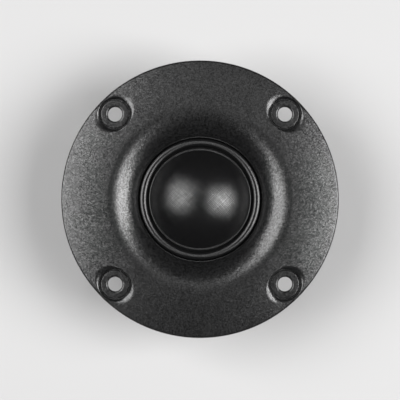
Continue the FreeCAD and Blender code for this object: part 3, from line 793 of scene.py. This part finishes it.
def metal(name, colour, roughness, grain=(1, 1, 1), grain_mm=0.3, relief_mm=0.004):
    """Plated or drawn metal with fine marks and a little tarnish."""
    n = Nodes(name)
    marks = n.noise(grain_mm, detail=3, place=n.mapped(scale=grain))
    tarnish = n.noise(3.0, detail=3)
    dull = tuple(c * 0.8 for c in colour)
    n.link(n.ramp(tarnish, (0.3, dull), (0.65, colour)), n.shader.inputs["Base Color"])
    worn = n.ramp(marks, (0.3, roughness - 0.06), (0.7, roughness + 0.08))
    n.link(worn, n.shader.inputs["Roughness"])
    n.link(n.bump(marks, relief_mm), n.shader.inputs["Normal"])
    n.set(Metallic=1.0)
    return n.material


def fibrous(name, colour, fibre_mm, relief_mm):
    """Felt or open foam: matt, mottled and rough."""
    n = Nodes(name)
    fibres = n.noise(fibre_mm, detail=4, roughness=0.7)
    dark = tuple(c * 0.55 for c in colour)
    n.link(n.ramp(fibres, (0.3, dark), (0.7, colour)), n.shader.inputs["Base Color"])
    n.link(n.bump(fibres, relief_mm), n.shader.inputs["Normal"])
    n.set(Roughness=0.95, Sheen_Weight=0.3)
    return n.material


def smooth_polymer(name, colour, roughness):
    """Rubber, insulation or adhesive with a faint mottle."""
    n = Nodes(name)
    mottle = n.noise(0.8, detail=3)
    dark = tuple(c * 0.75 for c in colour)
    n.link(n.ramp(mottle, (0.3, dark), (0.7, colour)), n.shader.inputs["Base Color"])
    worn = n.ramp(mottle, (0.3, roughness - 0.05), (0.7, roughness + 0.08))
    n.link(worn, n.shader.inputs["Roughness"])
    n.link(n.bump(mottle, 0.01), n.shader.inputs["Normal"])
    return n.material


def laminate(name):
    """Brown pressed-paper board with a faint fibre along X."""
    n = Nodes(name)
    fibre = n.noise(0.25, detail=3, place=n.mapped(scale=(0.15, 1, 1)))
    browns = n.ramp(fibre, (0.3, (0.1, 0.045, 0.02)), (0.7, (0.2, 0.1, 0.05)))
    n.link(browns, n.shader.inputs["Base Color"])
    n.link(n.bump(fibre, 0.01), n.shader.inputs["Normal"])
    n.set(Roughness=0.5)
    return n.material


def braid(name):
    """Fine copper braid."""
    n = Nodes(name)
    strands = n.weave(STRAND_PITCH)
    coppers = n.ramp(strands, (0.1, (0.3, 0.14, 0.07)), (0.9, (0.8, 0.45, 0.27)))
    n.link(coppers, n.shader.inputs["Base Color"])
    n.link(n.bump(strands, 0.02), n.shader.inputs["Normal"])
    n.set(Metallic=1.0, Roughness=0.35)
    return n.material


def windings(name):
    """Enamelled copper wire laid in turns about Z."""
    n = Nodes(name)
    split = n.tree.nodes.new("ShaderNodeSeparateXYZ")
    n.link(n.place, split.inputs[0])
    phase = n.math("MULTIPLY", split.outputs["Z"], math.pi / (WIRE_PITCH * MM))
    turns = n.math("ABSOLUTE", n.math("SINE", phase))
    coppers = n.ramp(turns, (0.0, (0.16, 0.06, 0.03)), (0.8, (0.75, 0.33, 0.17)))
    n.link(coppers, n.shader.inputs["Base Color"])
    n.link(n.bump(turns, 0.05), n.shader.inputs["Normal"])
    n.set(Metallic=0.9, Roughness=0.28)
    return n.material


MATERIALS = {
    "black_plastic": moulded_plastic(
        "black_plastic",
        (0.007, 0.007, 0.0072),
        roughness=0.26,
        grain_mm=0.23,
        tilt=0.09,
        speckle=0.2,
    ),
    "housing_plastic": moulded_plastic(
        "housing_plastic",
        (0.009, 0.009, 0.0095),
        roughness=0.35,
        grain_mm=0.26,
        tilt=0.1,
        speckle=0.3,
    ),
    "black_silk": coated_silk("black_silk", (0.006, 0.006, 0.0062), 0.235, WEAVE_PITCH, 0.025),
    "black_foam": fibrous("black_foam", (0.02, 0.02, 0.021), 0.35, 0.08),
    "felt": fibrous("felt", (0.09, 0.09, 0.095), 0.3, 0.15),
    "former_foil": metal("former_foil", (0.55, 0.55, 0.57), 0.35, grain=(1, 1, 4)),
    "copper": windings("copper"),
    "braided_lead": braid("braided_lead"),
    "brass": metal("brass", (0.72, 0.55, 0.28), 0.3),
    "zinc_steel": metal("zinc_steel", (0.58, 0.59, 0.6), 0.34),
    "nickel": metal("nickel", (0.62, 0.6, 0.57), 0.16),
    "screw_steel": metal("screw_steel", (0.09, 0.09, 0.095), 0.38),
    "tin_plate": metal("tin_plate", (0.7, 0.69, 0.66), 0.3, grain=(6, 6, 1)),
    "seal_rubber": smooth_polymer("seal_rubber", (0.02, 0.02, 0.02), 0.6),
    "red_insulation": smooth_polymer("red_insulation", (0.45, 0.03, 0.025), 0.4),
    "black_insulation": smooth_polymer("black_insulation", (0.025, 0.025, 0.025), 0.4),
    "board_laminate": laminate("board_laminate"),
    "solder": metal("solder", (0.62, 0.62, 0.63), 0.22),
}
BOND = smooth_polymer("bond_adhesive", (0.008, 0.008, 0.008), 0.3)
ROLL_SILK = formed_silk("formed_silk", (0.006, 0.006, 0.0062), 0.24, WEAVE_PITCH)


def finish_piece(piece, slot, material=None):
    """Give a piece the material of its record slot, unless it has one of its own."""
    piece.data.materials.clear()
    piece.data.materials.append(material or MATERIALS[slot])


# ---------------------------------------------------------------- put the tweeter together

SLOTS = {part["node"]: part["material_slot"] for part in frame["record"]["subparts"]}

for node, piece in frame["nodes"].items():
    for index in range(len(piece.material_slots)):
        piece.material_slots[index].material = MATERIALS[SLOTS[node]]

faceplate = make_faceplate()
finish_piece(faceplate, "black_plastic")
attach(faceplate, HOUSING)
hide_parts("faceplate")

dome = make_dome()
finish_piece(dome, "black_silk")
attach(dome, DIAPHRAGM)
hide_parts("dome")

bead = make_bead()
finish_piece(bead, "black_silk", BOND)
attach(bead, DIAPHRAGM)

surround = make_surround()
finish_piece(surround, "black_silk", ROLL_SILK)
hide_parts("surround")
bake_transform(surround)

route = lead_route()
for label, sign in (("lead_wire_positive", 1), ("lead_wire_negative", -1)):
    lead = make_lead(label + "_braid", route, sign)
    finish_piece(lead, "braided_lead")
    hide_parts(label)
    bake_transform(lead)

gasket = make_soft_ring(
    "gasket_foam",
    GASKET_LOW,
    GASKET_HIGH,
    GASKET_INNER,
    rounding=0.12,
    roughness=0.01,
    segments=240,
)
finish_piece(gasket, "black_foam")
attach(gasket, HOUSING)
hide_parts("flange_gasket")

felt = make_soft_ring(
    "pole_felt_disc", *box_mm("pole_felt"), FELT_HOLE, rounding=0.25, roughness=0.03
)
finish_piece(felt, "felt")
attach(felt, HOUSING)
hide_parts("pole_felt")

wadding = make_soft_ring(
    "chamber_wadding_disc", *box_mm("chamber_wadding"), inner=0, rounding=1.6, roughness=0.12
)
finish_piece(wadding, "felt")
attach(wadding, HOUSING)
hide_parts("chamber_wadding")


# ---------------------------------------------------------------- floor, lights and camera

FLOOR_HEIGHT = CAD_LOW[2]
FLOOR_HALF = 3.0
FLANGE_SHARE = 0.695
CAMERA_OFFSET = (0.0, -0.0002)
LENS = 120.0
SENSOR = 36.0


def make_floor():
    """A pale paper floor under the part."""
    mesh = bpy.data.meshes.new("floor")
    signs = ((-1, -1), (1, -1), (1, 1), (-1, 1))
    corners = [(x * FLOOR_HALF, y * FLOOR_HALF, FLOOR_HEIGHT) for x, y in signs]
    mesh.from_pydata(corners, [], [(0, 1, 2, 3)])
    floor = bpy.data.objects.new("floor", mesh)
    bpy.context.scene.collection.objects.link(floor)
    n = Nodes("floor_paper")
    n.set(Base_Color=(0.55, 0.547, 0.547, 1), Roughness=0.9)
    floor.data.materials.append(n.material)


def add_softbox(name, azimuth, tilt, distance, size, power):
    """A softbox aimed at the origin. azimuth is its side in plan, tilt its angle off +Z."""
    data = bpy.data.lights.new(name, "AREA")
    data.shape = "RECTANGLE"
    data.size, data.size_y = size
    data.energy = power
    light = bpy.data.objects.new(name, data)
    side = math.radians(azimuth)
    reach = distance * math.sin(math.radians(tilt))
    height = distance * math.cos(math.radians(tilt))
    light.location = (reach * math.cos(side), reach * math.sin(side), height)
    light.rotation_mode = "QUATERNION"
    light.rotation_quaternion = (-light.location).to_track_quat("-Z", "Y")
    bpy.context.scene.collection.objects.link(light)


def make_world(strength):
    world = bpy.data.worlds.new("studio")
    world.use_nodes = True
    background = world.node_tree.nodes["Background"]
    background.inputs["Color"].default_value = (1.0, 1.0, 1.0, 1)
    background.inputs["Strength"].default_value = strength
    bpy.context.scene.world = world


def make_camera():
    """Straight above the dome, as far as makes the flange fill its share of the frame."""
    data = bpy.data.cameras.new("camera")
    data.lens = LENS
    data.sensor_width = SENSOR
    width = 2 * FLANGE_RADIUS * MM / FLANGE_SHARE
    distance = width * LENS / SENSOR
    camera = bpy.data.objects.new("camera", data)
    camera.location = (*CAMERA_OFFSET, RIM_FRONT * MM + distance)
    data.clip_start, data.clip_end = 0.01, 10
    bpy.context.scene.collection.objects.link(camera)
    bpy.context.scene.camera = camera


make_floor()
add_softbox("softbox_left", azimuth=170, tilt=33, distance=0.7, size=(0.46, 0.42), power=4.5)
add_softbox("softbox_right", azimuth=-3, tilt=36, distance=0.7, size=(0.34, 0.44), power=5.4)
add_softbox("fill_top", azimuth=90, tilt=16, distance=0.8, size=(0.25, 0.2), power=0.11)
make_world(strength=0.03)
make_camera()
bpy.context.scene.view_settings.view_transform = "Standard"
